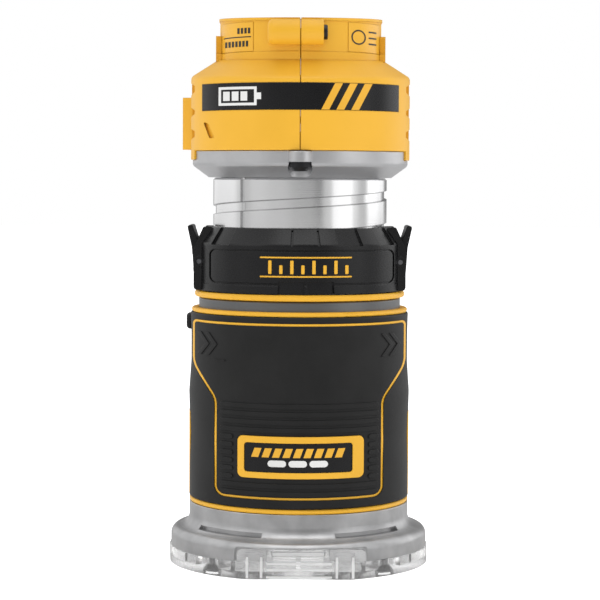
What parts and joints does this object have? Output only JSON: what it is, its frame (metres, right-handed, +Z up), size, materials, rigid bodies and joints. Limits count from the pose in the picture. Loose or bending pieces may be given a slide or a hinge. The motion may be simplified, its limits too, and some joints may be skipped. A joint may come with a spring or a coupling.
{
  "type": "trim router",
  "caption": "Cordless trim router: clear D-shaped foot, gripped base, threaded motor sleeve with depth ring, and a head with a battery receptacle on top.",
  "frame": {"origin": "on the spindle axis, in the underside of the sub-base", "axes": "+Z up along the spindle axis, -Y the front of the tool (the side with the grip panel and the battery receptacle's closed end), +X its right-hand side"},
  "size_m": [0.103, 0.1023, 0.2151],
  "materials": {
    "cast_aluminium": "fine cast, matte",
    "machined_aluminium": "turned, bright",
    "clear_polycarbonate": "clear, polished",
    "yellow_plastic": "fine spark texture",
    "black_rubber": "soft-touch overmould",
    "black_plastic": "glass-filled nylon, satin",
    "flange_aluminium": "bead-blasted",
    "black_steel": "black oxide",
    "bright_steel": "zinc plated",
    "lamination_steel": "laminated",
    "winding_copper": "enamelled copper",
    "magnet": "nickel plated",
    "circuit_board": "solder mask",
    "wire_insulation": "silicone",
    "label_film": "matte film",
    "contact_brass": "plated"
  },
  "bodies": {
    "base": {"base_casting": "cast_aluminium", "subbase": "clear_polycarbonate", "subbase_screws": "black_steel", "alignment_key": "bright_steel", "grip_core": "yellow_plastic", "grip_overmould": "black_rubber", "grip_front_panel": "black_rubber", "badge_frame": "yellow_plastic", "badge_plate": "black_plastic", "side_inserts": "yellow_plastic", "clamp_bolt": "bright_steel", "clamp_nut": "bright_steel", "clamp_washer": "bright_steel", "lever_pin": "bright_steel"},
    "locking_lever": {"locking_lever": "black_plastic"},
    "depth_ring": {"depth_ring": "black_plastic", "ring_thread": "black_plastic", "ring_badge": "yellow_plastic", "tab_pins": "black_steel", "tab_springs": "bright_steel"},
    "scale_ring": {"scale_ring": "yellow_plastic"},
    "release_tab_right": {"release_tab_right": "black_plastic"},
    "release_tab_left": {"release_tab_left": "black_plastic"},
    "motor": {"motor_sleeve": "machined_aluminium", "nose_bell": "flange_aluminium", "led_lenses": "clear_polycarbonate", "led_board": "circuit_board", "bearing_outer_races": "bright_steel", "stator_core": "lamination_steel", "stator_windings": "winding_copper", "motor_leads": "wire_insulation", "end_bell": "flange_aluminium", "flange_screws": "black_steel", "head_shell_left": "yellow_plastic", "head_shell_right": "yellow_plastic", "head_band": "black_plastic", "shell_screws": "black_steel", "label_plates": "label_film", "terminal_block": "black_plastic", "terminal_blades": "contact_brass", "control_board": "circuit_board", "switch_module": "black_plastic", "switch_bezel": "yellow_plastic", "dial_potentiometer": "black_plastic"},
    "power_rocker": {"power_rocker": "black_plastic"},
    "speed_dial": {"speed_dial": "black_plastic"},
    "spindle_lock_button": {"spindle_lock_button": "black_plastic", "lock_spring": "bright_steel"},
    "spindle": {"spindle_shaft": "bright_steel", "bearing_inner_races": "bright_steel", "bearing_balls": "bright_steel", "rotor_core": "lamination_steel", "rotor_magnets": "magnet", "cooling_fan": "black_plastic", "lock_disc": "bright_steel", "collet": "bright_steel", "collet_nut": "black_steel"}
  },
  "joints": [
    {"name": "motor_slide", "type": "slide", "parent": "base", "child": "motor", "axis": [0, 0, 1], "range_m": [-0.0185, 0.0195]},
    {"name": "depth_ring_turn", "type": "hinge", "parent": "base", "child": "depth_ring", "pos_m": [0, 0, 0.1208], "axis": [0, 0, 1], "range_deg": [-553.5, 525.5]},
    {"name": "scale_ring_turn", "type": "hinge", "parent": "depth_ring", "child": "scale_ring", "pos_m": [0, 0, 0.1068], "axis": [0, 0, 1], "continuous": true},
    {"name": "release_tab_right_press", "type": "hinge", "parent": "depth_ring", "child": "release_tab_right", "pos_m": [0.0396, 0, 0.1196], "axis": [0, -1, 0], "range_deg": [0, 8], "stiffness_Nm_per_rad": 0.25, "springref_deg": -5.73},
    {"name": "release_tab_left_press", "type": "hinge", "parent": "depth_ring", "child": "release_tab_left", "pos_m": [-0.0396, 0, 0.1196], "axis": [0, 1, 0], "range_deg": [0, 8], "stiffness_Nm_per_rad": 0.25, "springref_deg": -5.73},
    {"name": "locking_lever_swing", "type": "hinge", "parent": "base", "child": "locking_lever", "pos_m": [-0.0145, 0.047, 0.0945], "axis": [0, 0, -1], "range_deg": [0, 95]},
    {"name": "spindle_turn", "type": "hinge", "parent": "motor", "child": "spindle", "pos_m": [0, 0, 0.1], "axis": [0, 0, 1], "continuous": true},
    {"name": "power_rocker_tilt", "type": "hinge", "parent": "motor", "child": "power_rocker", "pos_m": [-0.0397, 0.01851, 0.174], "axis": [-0.4226, -0.9063, 0], "range_deg": [-16, 0]},
    {"name": "speed_dial_turn", "type": "hinge", "parent": "motor", "child": "speed_dial", "pos_m": [0.02796, 0.02346, 0.175], "axis": [0, 0, 1], "range_deg": [-135, 135]},
    {"name": "spindle_lock_press", "type": "slide", "parent": "motor", "child": "spindle_lock_button", "axis": [0, -1, 0], "range_m": [0, 0.004], "stiffness_N_per_m": 400, "springref_m": -0.002, "deforming": ["lock_spring"]}
  ],
  "couplings": [
    {"joint": "depth_ring_turn", "follows": "motor_slide", "rad_per_m": -494.74}
  ]
}
